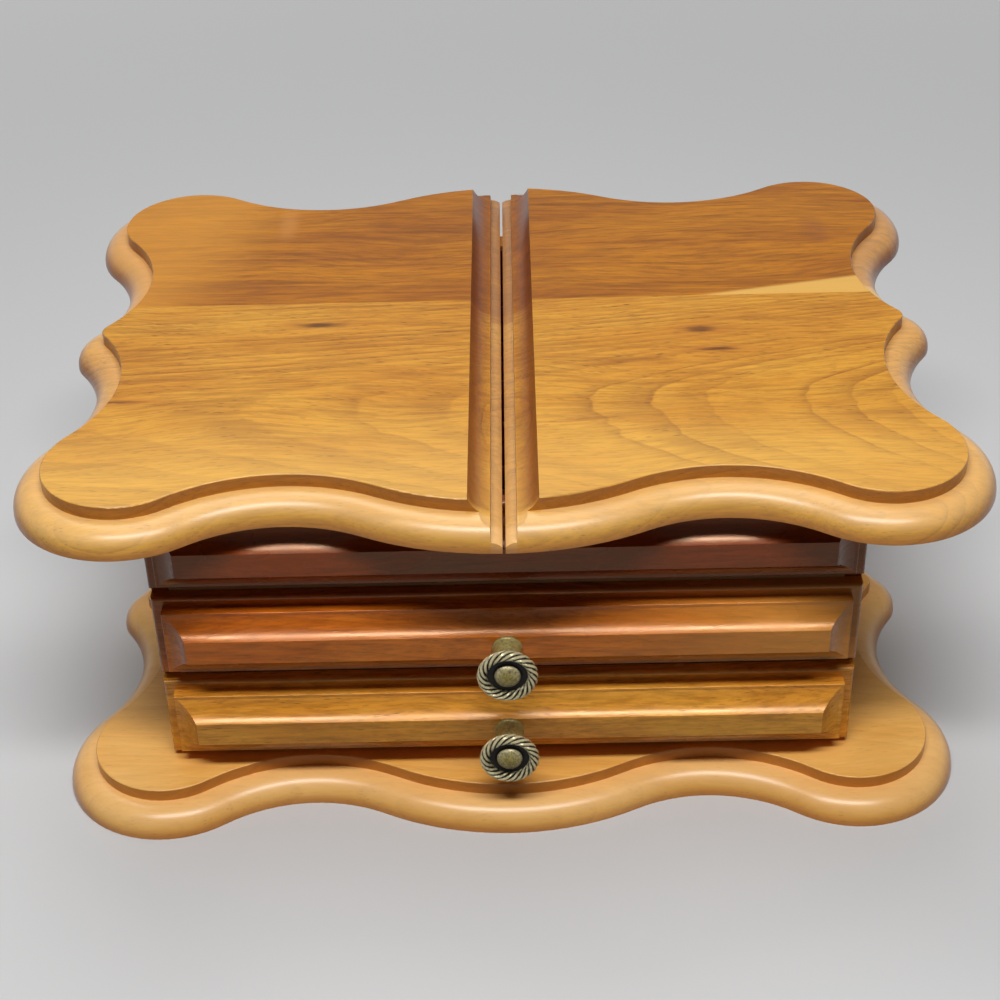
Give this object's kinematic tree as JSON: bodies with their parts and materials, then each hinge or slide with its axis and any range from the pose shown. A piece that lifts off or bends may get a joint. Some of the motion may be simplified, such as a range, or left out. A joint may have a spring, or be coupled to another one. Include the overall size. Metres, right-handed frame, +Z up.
{
  "type": "vanity box with mirror",
  "caption": "Varnished wooden jewellery box with a scalloped base, drawers under a lined compartment, and hinged lid leaves with mirrors inside.",
  "frame": {"origin": "middle of the flat underside of the base plate, on the surface it stands on", "axes": "+X to the right along the drawer fronts, +Y from the drawer fronts to the back, +Z up"},
  "size_m": [0.39, 0.304, 0.162],
  "materials": {
    "lid_wood": "satin varnish, honey heartwood with a darker glued board at the back",
    "base_wood": "satin varnish, honey",
    "front_wood": "satin varnish, red-brown to honey",
    "case_wood": "satin varnish, red-brown",
    "inner_wood": "thin sealed pale wood",
    "velvet": "dark red velvet",
    "aged_brass": "antique brass, dark in the recesses",
    "hinge_brass": "satin brass",
    "screw_brass": "satin brass",
    "screw_steel": "zinc-plated steel",
    "mirror_glass": "silvered glass with a bevelled edge"
  },
  "bodies": {
    "case": {"base_plate": "base_wood", "side_wall_left": "case_wood", "side_wall_right": "case_wood", "back_panel": "case_wood", "false_front": "front_wood", "compartment_floor": "inner_wood", "drawer_divider": "inner_wood", "drawer_runners": "inner_wood", "compartment_pad": "velvet", "compartment_lining": "velvet", "compartment_partitions": "velvet", "ring_rolls": "velvet", "base_screws": "screw_brass", "hinge_case_screws_left": "screw_brass", "hinge_case_screws_right": "screw_brass", "hinge_case_plates_left": "hinge_brass", "hinge_case_plates_right": "hinge_brass", "hinge_pins_left": "hinge_brass", "hinge_pins_right": "hinge_brass"},
    "left_lid": {"lid_leaf_left": "lid_wood", "mirror_left": "mirror_glass", "hinge_lid_plates_left": "hinge_brass", "hinge_lid_screws_left": "screw_brass"},
    "right_lid": {"lid_leaf_right": "lid_wood", "mirror_right": "mirror_glass", "hinge_lid_plates_right": "hinge_brass", "hinge_lid_screws_right": "screw_brass"},
    "upper_drawer": {"upper_drawer_front": "front_wood", "upper_drawer_side_left": "inner_wood", "upper_drawer_side_right": "inner_wood", "upper_drawer_back": "inner_wood", "upper_drawer_bottom": "inner_wood", "upper_drawer_pad": "velvet", "upper_knob": "aged_brass", "upper_knob_screw": "screw_steel", "upper_drawer_partitions": "velvet"},
    "lower_drawer": {"lower_drawer_front": "front_wood", "lower_drawer_side_left": "inner_wood", "lower_drawer_side_right": "inner_wood", "lower_drawer_back": "inner_wood", "lower_drawer_bottom": "inner_wood", "lower_drawer_pad": "velvet", "lower_knob": "aged_brass", "lower_knob_screw": "screw_steel"}
  },
  "joints": [
    {"name": "left_lid_hinge", "type": "hinge", "parent": "case", "child": "left_lid", "pos_m": [-0.1481, 0, 0.1429], "axis": [0, -1, 0], "range_deg": [0, 95]},
    {"name": "right_lid_hinge", "type": "hinge", "parent": "case", "child": "right_lid", "pos_m": [0.1481, 0, 0.1429], "axis": [0, 1, 0], "range_deg": [0, 95]},
    {"name": "upper_drawer_slide", "type": "slide", "parent": "case", "child": "upper_drawer", "axis": [0, -1, 0], "range_m": [0, 0.15]},
    {"name": "lower_drawer_slide", "type": "slide", "parent": "case", "child": "lower_drawer", "axis": [0, -1, 0], "range_m": [0, 0.15]}
  ]
}
